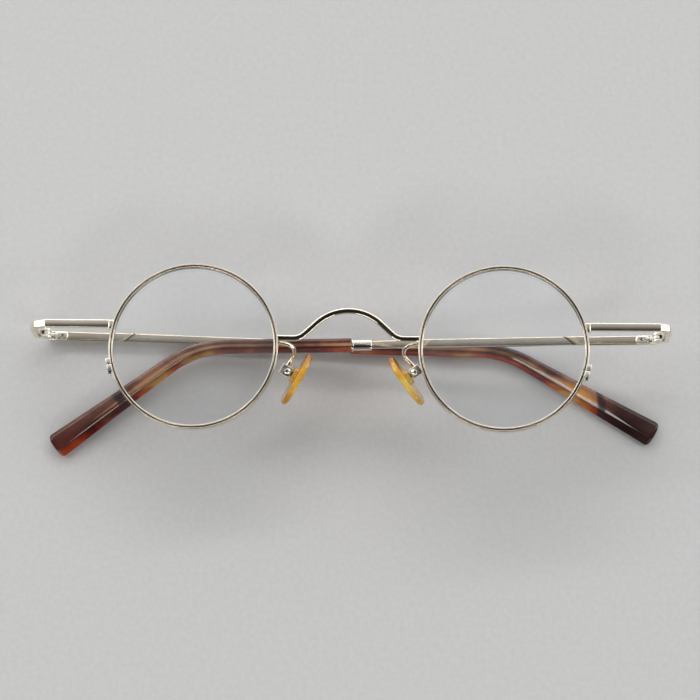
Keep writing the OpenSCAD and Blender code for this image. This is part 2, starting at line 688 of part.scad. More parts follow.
rim(-1);  // left_rim
rim(1);  // right_rim
lens(-1);  // left_lens
lens(1);  // right_lens
bridge();
end_piece(-1);  // left_end_piece
end_piece(1);  // right_end_piece
closing_block(-1, 1);  // left_closing_block_upper
closing_block(1, 1);  // right_closing_block_upper
closing_block(-1, -1);  // left_closing_block_lower
closing_block(1, -1);  // right_closing_block_lower
closing_screw(-1);  // left_closing_screw
closing_screw(1);  // right_closing_screw
pad_arm(-1);  // left_pad_arm
pad_arm(1);  // right_pad_arm
pad_box(-1);  // left_pad_box
pad_box(1);  // right_pad_box
pad_screw(-1);  // left_pad_screw
pad_screw(1);  // right_pad_screw
pad_tongue(-1);  // left_pad_tongue
pad_tongue(1);  // right_pad_tongue
nose_pad(-1);  // left_nose_pad
nose_pad(1);  // right_nose_pad
front_hinge(-1);  // left_front_hinge
front_hinge(1);  // right_front_hinge
hinge_screw(-1);  // left_hinge_screw
hinge_screw(1);  // right_hinge_screw
temple_hinge(-1);  // left_temple_hinge
temple_hinge(1);  // right_temple_hinge
temple_bar(-1);  // left_temple_bar
temple_bar(1);  // right_temple_bar
ferrule(-1);  // left_ferrule
ferrule(1);  // right_ferrule
temple_tip(-1);  // left_temple_tip
temple_tip(1);  // right_temple_tip
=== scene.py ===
"""Looks for the round wire-frame eyeglasses: finer pieces, materials, light and camera."""

import math

import bmesh
import bpy
from mathutils import Matrix, Vector


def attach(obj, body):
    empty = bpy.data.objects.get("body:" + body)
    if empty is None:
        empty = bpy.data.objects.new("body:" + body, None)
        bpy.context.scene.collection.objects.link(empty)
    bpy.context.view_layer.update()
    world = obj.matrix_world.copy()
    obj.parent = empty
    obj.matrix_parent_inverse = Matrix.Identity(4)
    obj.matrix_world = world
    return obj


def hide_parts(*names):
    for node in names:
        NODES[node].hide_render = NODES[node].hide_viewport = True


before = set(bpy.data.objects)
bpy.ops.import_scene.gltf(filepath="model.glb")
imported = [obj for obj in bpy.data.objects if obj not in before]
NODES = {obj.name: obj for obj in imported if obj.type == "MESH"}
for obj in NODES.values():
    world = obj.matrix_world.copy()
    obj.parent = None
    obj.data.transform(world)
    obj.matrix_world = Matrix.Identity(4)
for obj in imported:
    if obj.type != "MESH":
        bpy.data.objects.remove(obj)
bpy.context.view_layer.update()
MM = 0.001
SIDES = {-1: "left", 1: "right"}

# Sizes are in millimetres and degrees. Where the halves differ, -1 is the left one and 1 the right one.

# Rims and lenses
RIM_R, RIM_W, RIM_DEPTH, RIM_SLIM = 18.7, 1.1, 1.9, 0.18
RIM_IN, RIM_OUT = RIM_R - RIM_W, RIM_R - RIM_SLIM
RIM_STEPS, LENS_STEPS, LENS_RINGS = 288, 192, 24
# The channel: its width, its depth, and the share of its width that gets painted shade
CHANNEL_W, CHANNEL_DEPTH, CHANNEL_SHADE = 0.34, 0.2, 0.4
GROOVE_DEPTH, LENS_PLAY = 0.42, 0.05
RIM_GAP = 30.2
LENS_X = RIM_GAP / 2 + RIM_R
LENS_T, LENS_CURVE_R = 1.6, 120.0

# Bridge
BRIDGE_W, BRIDGE_DEPTH, BRIDGE_Y, BRIDGE_RISE = 1.4, 1.4, 2.1, 6.2
BRIDGE_SLOPE, BRIDGE_FOOT_R, BRIDGE_TOP_R = 43.0, 3.4, 10.3
BRIDGE_ROLL, BRIDGE_POWER, BRIDGE_LAP = 13.0, 3.4, 0.5
BRIDGE_STEPS, ARCH_STEPS = 14, 22
SOLDER_SWELL, SOLDER_RUN = 0.16, 1.1

# End pieces
FRONT_HALF, END_Y, END_H, END_T, END_CROWN, END_LAP = 70.5, 5.05, 1.8, 1.2, 0.06, 0.3
FACET_RUN, FACET_FALL = {-1: 2.5, 1: 1.9}, {-1: 1.25, 1: 0.95}
CORNER_RUN, CORNER_FALL = {-1: 1.4, 1: 0.9}, 2.2
END_BENDS = (0, 0.7, 0.8, 1.2, 0)
FOOT_H, FOOT_DROP, FOOT_W, FOOT_LAP, FOOT_SOFT = 2.1, 0.3, 0.8, 0.35, 0.22
FOOT_HALF = 0.6 * END_T

# Hinges, with the pin's distance behind the front and from the end piece's arm
PIN_BACK, HINGE_RISE, PIN_OFF, BUTT_GAP = 10.5, 0.2, 1.4, 0.05
PIN_X = FRONT_HALF - END_T - PIN_OFF
ARM_X = FRONT_HALF - END_T / 2
HINGE_Y = END_Y + HINGE_RISE
KNUCKLE_R, KNUCKLE_H, HINGE_H, HINGE_SOFT = 1.1, 0.76, 2.1, 0.12
LEAF_T, LEAF_L, SHIELD_H, SHIELD_R, STEM_FROM = 0.5, 4.7, 1.9, 1.55, 0.1

# Rings of the domed shield of a temple hinge: size, height and painted shade, the last ones its rivet
SHIELD_DOME = (
    (1.0, 0.0, 0), (1.0, 0.35, 0), (0.97, 0.6, 0), (0.9, 0.8, 0), (0.78, 0.92, 0), (0.6, 0.99, 0),
    (0.4, 1.0, 0), (0.31, 1.0, 0), (0.28, 0.7, 1), (0.17, 0.7, 1), (0.13, 0.95, 0.3), (0.04, 1.0, 0),
)

# Screws: the hinge pins, the pads' screws and the closing screws
AXIS_R, SCREW_PLAY, SCREW_SLOT, SLOT_SINK, HEAD_DOME = 0.02, 0.03, 0.2, 0.5, 0.55
PIN_D, PIN_HEAD_D, PIN_HEAD_H = 0.9, 1.6, 0.4
PAD_SCREW_D, PAD_HEAD_D, PAD_HEAD_H = 0.8, 1.4, 0.35
CLOSING_D, CLOSING_END, CLOSING_TIP = 0.6, 1.2, 0.45
CLOSING_HEAD, CLOSING_HEAD_EDGE, CLOSING_HEAD_H = 0.13, 0.17, 0.25
THREAD_PITCH, THREAD_ROOT = 0.2, 0.76

# The rounded end of a closing screw: share of its radius, and height above its end
CLOSING_ROUND = ((0.5, 0.04), (0.87, 0.15), (1, 0.3), (0.9, 0.4))

# Closing blocks
BLOCK_ANGLE = {-1: 13.0, 1: 15.0}
SLIT, BLOCK_H, BLOCK_OUT, BLOCK_GAP = 0.25, 1.25, 0.66, 0.12
BLOCK_LAP, BLOCK_PROUD, BLOCK_SOFT = 0.25, 0.05, 0.14

# Temple bars, with the core wire that goes on inside the tip
BAR_H, BAR_END_H, BAR_T, BAR_SOFT = 2.1, 1.7, 1.2, 0.26
BAR_MID = PIN_OFF + BAR_T / 2
SLOPE = {-1: 0.8, 1: 1.4}
SCARF_AT = {-1: 18.5, 1: 19.4}
SCARF_ANGLE, SCARF_W, SCARF_DEPTH, INNER_FACE = 40.0, 0.34, 0.12, 0.4 * BAR_T
CORE_D, CORE_SHORT, CORE_POINT, CORE_END, CORE_DROP, CORE_SEAT = 1.2, 6.0, 7.0, 0.15, 0.6, 1.0

# Softened start of a bar: place from its butt end, and share of its section
BAR_START = ((0, 0.9), (0.05, 0.97), (0.16, 1))

# Stations along the oblique groove of a bar: place over the groove's width, depth and painted shade
SCARF_GROOVE = (
    (-0.9, 0, 0), (-0.5, 0, 0.6), (-0.25, 1, 1), (0.25, 1, 1), (0.5, 0, 0.6), (0.9, 0, 0),
)

# Ferrules
FERRULE_AT, FERRULE_L, FERRULE_H, FERRULE_T, FERRULE_POWER = 63.2, 4.5, 2.5, 1.9, 2.35
FERRULE_END = FERRULE_AT + FERRULE_L
COLLAR_L, COLLAR_RISE = 0.4, 0.2

# Temple tips
BEND = {-1: 28.0, 1: 35.5}
BEND_AT, HOOK_L, BEND_R = 102.7, 38.3, 22.0
TIP_H, TIP_END_H, TIP_T, TIP_END_T, TIP_ROUND, TIP_POWER = 3.0, 5.6, 3.0, 2.5, 1.3, 2.8
TIP_SEAT, TIP_BULGE, TIP_CREASE, TIP_GROW_EARLY, TIP_GROW_POWER = 0.25, 0.1, 0.46, 4, 1.3
TIP_ROUND_RINGS, TIP_ROUND_SHORT = 14, 0.3
FACET_TILT, SIDE_TILT = 34, 52

# The polished facet of a tip: its width, and where along the tip it starts and ends to narrow
TIP_FACET = {-1: (0.70, 0.84, 0.945), 1: (0.22, 0.90, 0.955)}
FACET_LEAST = 0.04

# Nose pads, with the boss round the tongue
PAD_L, PAD_W, PAD_T, PAD_SEAT, PAD_LOW, PAD_POWER = 12.6, 7.2, 1.5, 2.1, 0.5, 2.5
PAD_BOW, PAD_NARROW, PAD_BACK_SHARE, PAD_LEAST, PAD_RINGS = 0.05, 0.25, 0.82, 0.02, 28
PAD_X = {-1: 13.7, 1: 14.5}
PAD_LEAN = {-1: 27.0, 1: 34.5}
PAD_SPLAY = {-1: 16.0, 1: 15.0}
PAD_DROP, PAD_BACK, PAD_TILT = 3.8, 6.5, 8.0
BOSS_FROM, BOSS_L, BOSS_W, BOSS_POWER = 1.3, 3.6, 2.6, 2.6

# Softened end of a boss: height above it, and share of its section; then its share where it meets the pad
BOSS_START = ((0, 0.86), (0.12, 0.97), (0.3, 1))
BOSS_FOOT, BOSS_LAP = 1.08, 0.1

# Pad arms: the wire's shape as shares of its reach, its rise and its fall
ARM_D, ARM_Y, ARM_REACH, ARM_FALL, ARM_IN, ARM_LAP = 0.9, 1.5, 3.5, 4.5, 0.4, 0.15
ARM_SHAPE = (
    (0, 1, 0), (0.02, 1, 0.16), (0.3, 1.05, 0.33), (0.7, 0.95, 0.55), (1, 0.45, 0.75), (1, -0.35, 1),
)
ARM_SWELL, ARM_SWELL_STEPS = 0.35, 8
BOX_L, BOX_W, BOX_LAP = 2.3, 2.2, 0.1

# How the front lies on its folded temples: leaning about Y, lifted, and off the middle of the box
LEAN, LIFT, X_MID, Y_MID = 3.49581, 18.1207, 0.425305, -1.62743

# Angle from which an edge is drawn sharp, and the share of a side that a rounded corner may take
SHARP, CORNER_MOST = 35, 0.48


def turn(angle, axis):
    return Matrix.Rotation(math.radians(angle), 4, axis)


def move(x, y, z):
    return Matrix.Translation((x, y, z))


# Places, each turning millimetres of its own into the frame's metres
FRONT = Matrix.Scale(MM, 4) @ move(-X_MID, -Y_MID, LIFT) @ turn(-LEAN, "Y")
ON_SIDE = {-1: FRONT, 1: FRONT @ Matrix.Scale(-1, 4, (1, 0, 0))}
ON_RIM = {s: ON_SIDE[s] @ move(-LENS_X, 0, 0) for s in SIDES}
ON_BLOCK = {
    s: ON_RIM[s] @ turn(180 + BLOCK_ANGLE[s], "Z") @ Matrix.Scale(-1, 4, (0, 1, 0))
    for s in SIDES
}
AT_PIN = {s: ON_SIDE[s] @ move(-PIN_X, HINGE_Y, -PIN_BACK) for s in SIDES}
ON_TEMPLE = {s: AT_PIN[s] @ turn(LEAN if s < 0 else 0, "Y") for s in SIDES}
PAD_TURN = {
    s: turn(-PAD_LEAN[s], "Z") @ turn(PAD_SPLAY[s], "Y") @ turn(PAD_TILT, "X")
    for s in SIDES
}
PAD_PLACE = {s: move(-PAD_X[s], -PAD_DROP, -PAD_BACK) @ PAD_TURN[s] for s in SIDES}
ON_PAD = {s: ON_SIDE[s] @ PAD_PLACE[s] for s in SIDES}


# Outlines and paths


def superellipse(width, height, power, count):
    """Points of an ellipse that is squarer the higher its power."""
    points = []
    for i in range(count):
        a = math.tau * (i + 0.5) / count
        x, y = math.cos(a), math.sin(a)
        x = math.copysign(abs(x) ** (2 / power), x) * width / 2
        y = math.copysign(abs(y) ** (2 / power), y) * height / 2
        points.append((x, y))
    return points


def fillet(points, radius, steps, closed):
    """A path or outline with each corner rounded. radius is one number, or one per point."""
    made = []
    n = len(points)
    for i, p in enumerate(points):
        r = radius[i] if isinstance(radius, (list, tuple)) else radius
        if r <= 0 or (not closed and i in (0, n - 1)):
            made.append(Vector(p))
            continue
        here = Vector(p)
        a, b = Vector(points[i - 1]) - here, Vector(points[(i + 1) % n]) - here
        half = a.angle(b) / 2
        cut = min(r / math.tan(half), a.length * CORNER_MOST, b.length * CORNER_MOST)
        start, end = here + a.normalized() * cut, here + b.normalized() * cut
        for k in range(steps + 1):
            t = k / steps
            made.append(start * (1 - t) ** 2 + here * 2 * t * (1 - t) + end * t * t)
    return made


def soft_outline(corners, steps):
    """A closed outline from its corners, each a point with its own radius."""
    return fillet([p for p, _ in corners], [r for _, r in corners], steps, closed=True)


def rounded_box(width, height, radius, steps):
    w, h = width / 2, height / 2
    return fillet([(-w, -h), (w, -h), (w, h), (-w, h)], radius, steps, closed=True)


def rolled(outline, angle):
    """An outline turned about its middle."""
    c, s = math.cos(math.radians(angle)), math.sin(math.radians(angle))
    return [(c * x - s * y, s * x + c * y) for x, y in outline]


def arc_path(start, heading, radius, angle, steps):
    """Points of an arc after its start, turning left where the angle is positive."""
    side = 1 if angle > 0 else -1
    h = math.radians(heading)
    made = []
    for i in range(1, steps + 1):
        a = h + math.radians(angle) * i / steps
        x = start[0] + side * radius * (math.sin(a) - math.sin(h))
        y = start[1] - side * radius * (math.cos(a) - math.cos(h))
        made.append((x, y))
    return made


def smooth_path(points, steps):
    """A Catmull-Rom curve through all points, with so many steps from each to the next."""
    made = []
    last = len(points) - 1
    for i in range(last):
        a, b = points[max(0, i - 1)], points[i]
        c, d = points[i + 1], points[min(last, i + 2)]
        linear, square, cube = c - a, 2 * a - 5 * b + 4 * c - d, 3 * b - 3 * c + d - a
        for k in range(steps):
            t = k / steps
            made.append(0.5 * (2 * b + linear * t + square * t * t + cube * t**3))
    made.append(points[-1])
    return made


def flat_rings(path, outlines):
    """Outlines set across a flat path: an outline's X lies across the path and its Y along Z."""
    rings = []
    for i, p in enumerate(path):
        before = Vector(path[max(1, i)]) - Vector(path[max(1, i) - 1])
        j = min(len(path) - 2, i)
        after = Vector(path[j + 1]) - Vector(path[j])
        a, b = math.atan2(before[1], before[0]), math.atan2(after[1], after[0])
        mid, stretch = (a + b) / 2, 1 / math.cos((b - a) / 2)
        across = (-math.sin(mid), math.cos(mid))
        ring = [(p[0] + across[0] * x * stretch, p[1] + across[1] * x * stretch, y) for x, y in outlines[i]]
        rings.append(ring)
    return rings


def wire_rings(path, widths, count):
    """Round sections along a path in space, one width for each of its points."""
    rings = []
    angles = [math.tau * k / count for k in range(count)]
    normal = Vector((0, 1, 0))
    for i, p in enumerate(path):
        t = (path[min(len(path) - 1, i + 1)] - path[max(0, i - 1)]).normalized()
        normal = (normal - t * normal.dot(t)).normalized()
        side = t.cross(normal)
        w = widths[i] / 2
        rings.append([p + (normal * math.cos(a) + side * math.sin(a)) * w for a in angles])
    return rings


# Meshes


def loft(rings, closed=False):
    """Vertices and faces of a skin over rings, with flat ends unless it closes on itself."""
    n, m = len(rings[0]), len(rings)
    verts = [tuple(p) for ring in rings for p in ring]
    faces = []
    for j in range(m if closed else m - 1):
        for i in range(n):
            k = (i + 1) % n
            a, b = j * n, (j + 1) % m * n
            faces.append((a + i, a + k, b + k, b + i))
    if not closed:
        faces.append(tuple(range(n - 1, -1, -1)))
        faces.append(tuple((m - 1) * n + i for i in range(n)))
    return verts, faces


def revolve(profile, steps, start=0.0, end=360.0):
    """A profile of radius and height turned about Z from one angle to another."""
    whole = end - start >= 360
    rings = []
    for i in range(steps if whole else steps + 1):
        a = math.radians(start + (end - start) * i / steps)
        rings.append([(r * math.cos(a), r * math.sin(a), z) for r, z in profile])
    return loft(rings, whole)


def soft_block(low, high, radius):
    """A block with rounded edges between two corners."""
    bm = bmesh.new()
    bmesh.ops.create_cube(bm, size=1)
    size = [h - l for l, h in zip(low, high)]
    middle = [(l + h) / 2 for l, h in zip(low, high)]
    for v in bm.verts:
        v.co = Vector([v.co[i] * size[i] + middle[i] for i in range(3)])
    bmesh.ops.bevel(bm, geom=bm.edges[:], offset=radius, segments=4, profile=0.5, affect="EDGES")
    bm.verts.index_update()
    verts = [tuple(v.co) for v in bm.verts]
    faces = [tuple(v.index for v in f.verts) for f in bm.faces]
    bm.free()
    return verts, faces


def joined(*parts):
    verts, faces = [], []
    for v, f in parts:
        base = len(verts)
        verts += v
        faces += [tuple(base + i for i in face) for face in f]
    return verts, faces


def padded(values, shape, rest=0.0):
    """Marks of a shape's first vertices, with one value for all its other vertices."""
    return values + [rest] * (len(shape[0]) - len(values))


def new_object(name, data):
    obj = bpy.data.objects.new(name, data)
    bpy.context.scene.collection.objects.link(obj)
    return obj


def piece(replaces, shape, place, body, slot, sharp=SHARP, marks=None):
    """A mesh that stands for a CAD node, set in the frame and riding on the node's body.

    marks holds one number per vertex under each name, for the material to read.
    """
    verts, faces = shape
    name = replaces + "_fine"
    mesh = bpy.data.meshes.new(name)
    mesh.from_pydata([place @ Vector(v) for v in verts], [], faces)
    bm = bmesh.new()
    bm.from_mesh(mesh)
    bmesh.ops.recalc_face_normals(bm, faces=bm.faces)
    bm.to_mesh(mesh)
    bm.free()
    mesh.polygons.foreach_set("use_smooth", [True] * len(mesh.polygons))
    mesh.set_sharp_from_angle(angle=math.radians(sharp))
    mesh.materials.append(MATERIALS[slot])
    for mark, values in (marks or {}).items():
        mesh.attributes.new(mark, "FLOAT", "POINT").data.foreach_set("value", values)
    obj = new_object(name, mesh)
    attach(obj, body)
    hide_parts(replaces)


# Materials


def set_stops(node, stops):
    """The places and colours of a ramp."""
    elements = node.color_ramp.elements
    while len(elements) < len(stops):
        elements.new(0.5)
    for element, (at, color) in zip(elements, stops):
        element.position = at
        element.color = (*color, 1)


class Nodes:
    """A material's node tree, with short calls to add and link nodes."""

    def __init__(self, name):
        self.material = bpy.data.materials.new(name)
        self.material.use_nodes = True
        self.tree = self.material.node_tree
        self.shader = self.tree.nodes["Principled BSDF"]
        self.output = self.tree.nodes["Material Output"]
        self.coords = self.add("ShaderNodeTexCoord").outputs["Object"]

    def add(self, kind, links=None, **values):
        node = self.tree.nodes.new(kind)
        for key, value in values.items():
            setattr(node, key, value)
        for socket, value in (links or {}).items():
            self.set(node, socket, value)
        return node

    def set(self, node, socket, value):
        if isinstance(value, bpy.types.NodeSocket):
            self.tree.links.new(value, node.inputs[socket])
        else:
            node.inputs[socket].default_value = value

    def noise(self, scale, detail, stretch=(1, 1, 1)):
        place = self.add("ShaderNodeMapping", {"Vector": self.coords, "Scale": stretch})
        links = {"Vector": place.outputs[0], "Scale": scale, "Detail": detail}
        return self.add("ShaderNodeTexNoise", links).outputs[0]

    def ramp(self, value, stops):
        node = self.add("ShaderNodeValToRGB", {"Fac": value})
        set_stops(node, stops)
        return node.outputs["Color"]

    def mark(self, name):
        return self.add("ShaderNodeAttribute", attribute_name=name).outputs["Fac"]

    def spread(self, value, low, high, to_low, to_high):
        """The value's range from low to high laid over another one, and held beyond its ends."""
        links = {"Value": value, "From Min": low, "From Max": high, "To Min": to_low, "To Max": to_high}
        return self.add("ShaderNodeMapRange", links).outputs[0]

    def math(self, operation, a, b=0.0):
        return self.add("ShaderNodeMath", {0: a, 1: b}, operation=operation).outputs[0]

    def plus(self, a, b):
        return self.math("ADD", a, b)

    def minus(self, a, b):
        return self.math("SUBTRACT", a, b)

    def times(self, a, b):
        return self.math("MULTIPLY", a, b)

    def distance(self, value, place):
        return self.math("ABSOLUTE", self.minus(value, place))

    def mix(self, share, a, b):
        """Two colours mixed. The node's colour sockets share their names with others, hence numbers."""
        node = self.add("ShaderNodeMix", data_type="RGBA")
        for i, value in ((0, share), (6, a), (7, b)):
            self.set(node, i, value)
        return node.outputs[2]

    def bump(self, height, strength, distance):
        """A bump whose distance is in millimetres."""
        links = {"Height": height, "Strength": strength, "Distance": distance * MM}
        return self.add("ShaderNodeBump", links).outputs[0]

    def absorb(self, color, density):
        """Light lost on its way through the material, with a density per metre."""
        node = self.add("ShaderNodeVolumeAbsorption", {"Color": color, "Density": density})
        self.tree.links.new(node.outputs[0], self.output.inputs["Volume"])

    def principled(self, **values):
        for socket, value in values.items():
            self.set(self.shader, socket.replace("_", " "), value)
        return self.material


def metal(name, light, dark, rough, grain, scratch, nook_reach):
    """Polished plated metal: slight clouding, worn bright edges, rubbing marks and painted shade in nooks
    and hollows.
    """
    wear, painted_shade_tone = (0.98, 0.93, 0.84, 1), (0.030, 0.025, 0.020, 1)
    n = Nodes(name)
    cloud = n.noise(160, detail=4)
    fine = n.noise(2400, detail=2, stretch=(0.2, 1, 1))
    bend = n.add("ShaderNodeNewGeometry").outputs["Pointiness"]
    base = n.ramp(cloud, [(0.3, dark), (0.7, light)])
    worn = n.mix(n.spread(bend, 0.5, 0.56, 0, 0.3), base, wear)
    # Painted shade: darker where ambient occlusion finds a nook, and where a piece marks a hollow
    nook = n.add("ShaderNodeAmbientOcclusion", {"Distance": nook_reach * MM}, samples=8).outputs["AO"]
    hollow_shade = n.math("MAXIMUM", n.spread(nook, 0.55, 0.12, 0, 0.9), n.mark("hollow_shade"))
    height = n.plus(n.times(fine, scratch), n.times(cloud, grain))
    return n.principled(
        Base_Color=n.mix(hollow_shade, worn, painted_shade_tone),
        Metallic=1.0,
        Roughness=n.spread(n.noise(420, detail=5), 0.35, 0.7, rough * 0.7, rough * 1.5),
        Normal=n.bump(height, strength=0.2, distance=0.02),
    )


def screw_metal():
    """Turned steel, with painted shade where the threads are."""
    pale, bright, painted_shade_tone = (0.80, 0.77, 0.70), (0.95, 0.93, 0.88), (0.02, 0.018, 0.015, 1)
    n = Nodes("screw_steel")
    ring = n.noise(3200, detail=2)
    base = n.ramp(n.noise(600, detail=4), [(0.3, pale), (0.7, bright)])
    return n.principled(
        # Painted shade where a piece marks a hollow, as over a closing screw's threads
        Base_Color=n.mix(n.times(n.mark("hollow_shade"), 0.9), base, painted_shade_tone),
        Metallic=1.0,
        Roughness=n.spread(ring, 0.3, 0.7, 0.16, 0.30),
        Normal=n.bump(ring, strength=0.3, distance=0.03),
    )


TORTOISE_FACE = (
    (0.38, (0.020, 0.004, 0.003)),
    (0.47, (0.075, 0.022, 0.015)),
    (0.54, (0.16, 0.068, 0.048)),
    (0.62, (0.32, 0.15, 0.09)),
)
# Colours of the painted light along a tip's lower edge
TORTOISE_PAINTED_GLOW = (
    (0.39, (0.09, 0.005, 0.003)),
    (0.46, (0.42, 0.028, 0.007)),
    (0.53, (0.76, 0.13, 0.018)),
    (0.60, (0.96, 0.50, 0.09)),
)


def tortoise():
    """Cloudy red-brown acetate: painted light on its lower edge, a painted highlight of the core wire, a
    blotch and painted shade.

    Three marks say where it is: across is -1 at a tip's lower edge and 1 at its upper edge, along is 0 at
    the ferrule and 1 at the end, and smoke is 1 on the left temple's tip, whose end is darker, or else 0.
    """
    red_end, black_end = (0.075, 0.010, 0.007, 1), (0.018, 0.004, 0.004, 1)
    painted_glow_end, wire = (0.62, 0.050, 0.008, 1), (0.66, 0.33, 0.15, 1)
    amber, rim_shade_tone = (0.72, 0.32, 0.05, 1), (0.012, 0.003, 0.003, 1)
    n = Nodes("tortoise_tip")
    across, along, smoke = n.mark("across"), n.mark("along"), n.mark("smoke")
    clear = n.spread(smoke, 0, 1, 1, 0)
    small = n.noise(420, detail=5, stretch=(0.4, 1, 1))
    big = n.noise(75, detail=3, stretch=(0.8, 1.3, 1.3))
    clouds = n.plus(n.times(big, 0.8), n.times(small, 0.2))

    # The face, darker towards the end
    dark_from = n.minus(0.80, n.times(smoke, 0.04))
    dark = n.spread(along, dark_from, 0.95, 0, 0.85)
    color = n.mix(dark, n.ramp(clouds, TORTOISE_FACE), n.mix(smoke, red_end, black_end))

    # A painted highlight of the core wire seen through the acetate, until the wire comes to its point
    half_wide = n.spread(along, 0.70, 0.90, 0.26, 0.0)
    core = n.spread(n.minus(half_wide, n.distance(across, -0.10)), 0, 0.12, 0, 1)
    core = n.times(core, n.spread(clouds, 0.44, 0.56, 0.2, 0.85))
    color = n.mix(core, color, wire)

    # Painted light below the crease, gone at the smoky end and dim for a stretch of the other tip
    edge = n.spread(across, -TIP_CREASE, -0.84, 0, 1)
    edge = n.times(edge, n.spread(clouds, 0.38, 0.46, 0.3, 1))
    edge = n.times(edge, n.spread(n.times(smoke, along), 0.80, 0.88, 1, 0.0))
    dim = n.spread(n.distance(along, 0.80), 0.035, 0.055, 0.85, 0)
    edge = n.times(edge, n.minus(1.0, n.times(dim, clear)))
    painted_glow = n.mix(n.spread(along, 0.90, 0.97, 0, 0.7), n.ramp(clouds, TORTOISE_PAINTED_GLOW), painted_glow_end)
    color = n.mix(edge, color, painted_glow)

    # An amber blotch in the middle of the smoky tip
    blotch = n.times(smoke, n.spread(n.distance(along, 0.735), 0.06, 0.01, 0, 0.8))
    blotch = n.times(blotch, n.spread(n.math("ABSOLUTE", across), 0.6, 0.2, 0, 1))
    color = n.mix(blotch, color, amber)

    # A ragged band of painted shade from the rim across each tip, a little oblique on the smoky one
    skewed = n.plus(along, n.times(n.times(across, smoke), 0.02))
    ragged = n.plus(skewed, n.times(small, 0.02))
    band = n.distance(ragged, n.spread(smoke, 0, 1, 0.763, 0.822))
    band = n.spread(band, 0.017, 0.008, 0, 0.9)
    color = n.mix(band, color, rim_shade_tone)

    n.absorb(color=(0.80, 0.35, 0.02, 1), density=1400.0)
    polish = n.spread(n.noise(900, detail=4), 0.3, 0.7, 0.04, 0.10)
    return n.principled(
        Base_Color=color,
        Roughness=n.plus(polish, n.times(band, 0.3)),
        Transmission_Weight=n.spread(edge, 0, 1, 0.10, 0.35),
        IOR=1.55,
        Normal=n.bump(n.noise(240, detail=2), strength=0.06, distance=0.04),
    )


AMBER_GOLD = ((0.36, (0.74, 0.33, 0.02)), (0.5, (0.95, 0.50, 0.05)), (0.64, (1.0, 0.70, 0.15)))


def amber_pad():
    """Golden translucent plastic under a glossy skin, redder at its upper end."""
    red = (0.42, 0.09, 0.02, 1)
    n = Nodes("amber_pad")
    gold = n.ramp(n.noise(260, detail=4), AMBER_GOLD)
    n.absorb(color=(0.96, 0.80, 0.35, 1), density=800.0)
    return n.principled(
        Base_Color=n.mix(n.spread(n.mark("up"), 0.80, 0.97, 0, 0.85), gold, red),
        Roughness=n.spread(n.noise(1100, detail=4), 0.3, 0.7, 0.06, 0.14),
        Transmission_Weight=0.15,
        IOR=1.5,
        Coat_Weight=0.6,
        Coat_Roughness=0.03,
        Normal=n.bump(n.noise(900, detail=3), strength=0.12, distance=0.04),
    )


def clear_lens():
    """Clear glass with faint smears."""
    n = Nodes("clear_lens")
    tint = n.ramp(n.noise(60, detail=5), [(0.3, (0.96, 0.975, 0.985)), (0.7, (0.98, 0.99, 0.995))])
    return n.principled(
        Base_Color=tint,
        Roughness=n.spread(n.noise(30, detail=4), 0.35, 0.7, 0.0, 0.02),
        Transmission_Weight=1.0,
        IOR=1.5,
    )


def floor_paper():
    """Pale grey paper with a faint grain."""
    n = Nodes("floor_paper")
    grain = n.noise(900, detail=3)
    return n.principled(
        Base_Color=n.ramp(grain, [(0.3, (0.57, 0.57, 0.573)), (0.7, (0.61, 0.61, 0.613))]),
        Roughness=n.spread(grain, 0.3, 0.7, 0.6, 0.75),
        Normal=n.bump(grain, strength=0.05, distance=0.05),
    )


# Each material under the record's slot. For a metal: its light and dark tone, roughness, weight of the
# clouds and of the scratches in its bump, and how far the painted shade in its nooks reaches.
MATERIALS = {
    "frame_metal": metal("frame_metal", (0.92, 0.83, 0.70), (0.82, 0.73, 0.59), 0.11, 0.5, 0.4, 0.6),
    "hinge_metal": metal("hinge_metal", (0.97, 0.93, 0.85), (0.88, 0.83, 0.74), 0.30, 0.4, 0.3, 1.3),
    "ferrule_metal": metal("ferrule_metal", (0.94, 0.91, 0.85), (0.85, 0.81, 0.74), 0.09, 0.4, 0.3, 0.6),
    "screw_steel": screw_metal(),
    "tortoise_tip": tortoise(),
    "amber_pad": amber_pad(),
    "clear_lens": clear_lens(),
}


# The front


def rim(side):
    """The eyewire with its channel, lens groove and slit, with painted shade in the channel."""
    half, mid = RIM_DEPTH / 2, (RIM_IN + RIM_OUT) / 2
    low = half - CHANNEL_DEPTH
    corners = [
        ((RIM_IN, -half), 0.2),
        ((RIM_OUT, -half), 0.28),
        ((RIM_OUT, half), 0.2),
        ((mid + CHANNEL_W / 2, half), 0.1),
        ((mid + CHANNEL_W / 4, low), 0.06),
        ((mid - CHANNEL_W / 4, low), 0.06),
        ((mid - CHANNEL_W / 2, half), 0.1),
        ((RIM_IN, half), 0.18),
        ((RIM_IN, GROOVE_DEPTH), 0.03),
        ((RIM_IN + GROOVE_DEPTH, 0), 0.0),
        ((RIM_IN, -GROOVE_DEPTH), 0.03),
    ]
    open_half = math.degrees(math.asin(BLOCK_GAP / 2 / RIM_OUT))
    at = 180 + BLOCK_ANGLE[side]
    shape = revolve(soft_outline(corners, steps=5), RIM_STEPS, at + open_half, at + 360 - open_half)
    # Painted shade in the bottom of the channel
    hollow_shade = []
    for x, y, z in shape[0]:
        in_channel = abs(math.hypot(x, y) - mid) < CHANNEL_SHADE * CHANNEL_W and z > low - 0.01
        hollow_shade.append(float(in_channel))
    name = SIDES[side] + "_rim"
    piece(name, shape, ON_RIM[side], "front", "frame_metal", marks={"hollow_shade": hollow_shade})


